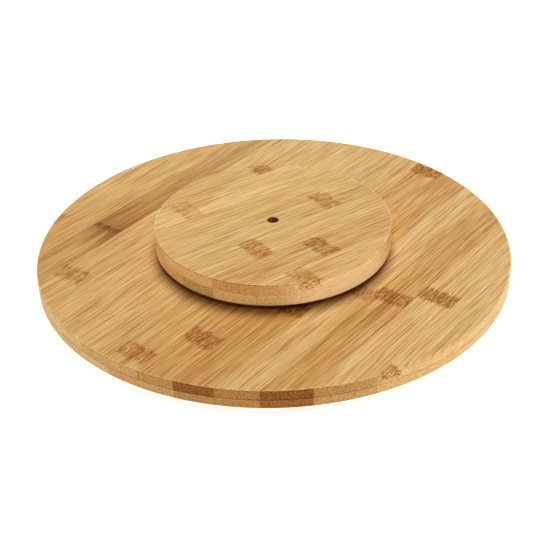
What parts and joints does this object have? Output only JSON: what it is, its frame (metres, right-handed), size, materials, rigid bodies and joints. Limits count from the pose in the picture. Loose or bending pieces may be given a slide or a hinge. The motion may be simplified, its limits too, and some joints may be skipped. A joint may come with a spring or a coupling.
{
  "type": "lazy susan turntable",
  "caption": "Round bamboo lazy susan, lying turned over: a wide turning plate and a small round base with a centre hole, on a hidden ball bearing and centre pivot.",
  "frame": {"origin": "centre of the serving face, which lies on the surface because the turntable is stored turned over, as pictured", "axes": "+Z along the spin axis, from the serving face up through the base to the face that stands on the table in use; +X right and +Y away from the viewer. For use the whole part is turned 180 degrees about X."},
  "size_m": [0.35, 0.35, 0.035],
  "materials": {
    "bamboo_pale": "satin oiled bamboo, pale stave",
    "bamboo_mid": "satin oiled bamboo, middle stave",
    "bamboo_dark": "satin oiled bamboo, steamed dark stave",
    "pressed_steel": "pressed galvanised strip",
    "ball_steel": "polished bearing steel",
    "cage_plastic": "moulded natural acetal",
    "zinc_steel": "bright zinc plated",
    "nylon": "natural nylon",
    "brass": "turned brass"
  },
  "bodies": {
    "base": {"base_inner_stave_01": "bamboo_mid", "base_inner_stave_02": "bamboo_pale", "base_inner_stave_03": "bamboo_dark", "base_inner_stave_04": "bamboo_pale", "base_inner_stave_05": "bamboo_mid", "base_inner_stave_06": "bamboo_pale", "base_inner_stave_07": "bamboo_mid", "base_foot_stave_01": "bamboo_pale", "base_foot_stave_02": "bamboo_mid", "base_foot_stave_03": "bamboo_mid", "base_foot_stave_04": "bamboo_pale", "base_foot_stave_05": "bamboo_pale", "base_foot_stave_06": "bamboo_pale", "base_foot_stave_07": "bamboo_mid", "base_race": "pressed_steel", "pivot_bush": "nylon"},
    "plate": {"plate_serving_stave_01": "bamboo_mid", "plate_serving_stave_02": "bamboo_pale", "plate_serving_stave_03": "bamboo_dark", "plate_serving_stave_04": "bamboo_mid", "plate_serving_stave_05": "bamboo_pale", "plate_serving_stave_06": "bamboo_mid", "plate_serving_stave_07": "bamboo_pale", "plate_serving_stave_08": "bamboo_mid", "plate_serving_stave_09": "bamboo_dark", "plate_serving_stave_10": "bamboo_pale", "plate_serving_stave_11": "bamboo_mid", "plate_serving_stave_12": "bamboo_pale", "plate_serving_stave_13": "bamboo_mid", "plate_serving_stave_14": "bamboo_pale", "plate_under_stave_01": "bamboo_mid", "plate_under_stave_02": "bamboo_pale", "plate_under_stave_03": "bamboo_dark", "plate_under_stave_04": "bamboo_pale", "plate_under_stave_05": "bamboo_dark", "plate_under_stave_06": "bamboo_mid", "plate_under_stave_07": "bamboo_pale", "plate_under_stave_08": "bamboo_mid", "plate_under_stave_09": "bamboo_mid", "plate_under_stave_10": "bamboo_mid", "plate_under_stave_11": "bamboo_pale", "plate_under_stave_12": "bamboo_dark", "plate_under_stave_13": "bamboo_mid", "plate_under_stave_14": "bamboo_mid", "plate_race": "pressed_steel", "pivot_screw": "zinc_steel", "pivot_washer": "zinc_steel", "threaded_insert": "brass"},
    "cage": {"ball_cage": "cage_plastic", "bearing_balls": "ball_steel"}
  },
  "joints": [
    {"name": "plate_spin", "type": "hinge", "parent": "base", "child": "plate", "pos_m": [0, 0, 0.0165], "axis": [0, 0, 1], "continuous": true},
    {"name": "cage_spin", "type": "hinge", "parent": "base", "child": "cage", "pos_m": [0, 0, 0.0165], "axis": [0, 0, 1], "continuous": true}
  ],
  "couplings": [
    {"joint": "cage_spin", "follows": "plate_spin", "ratio": 0.5}
  ]
}
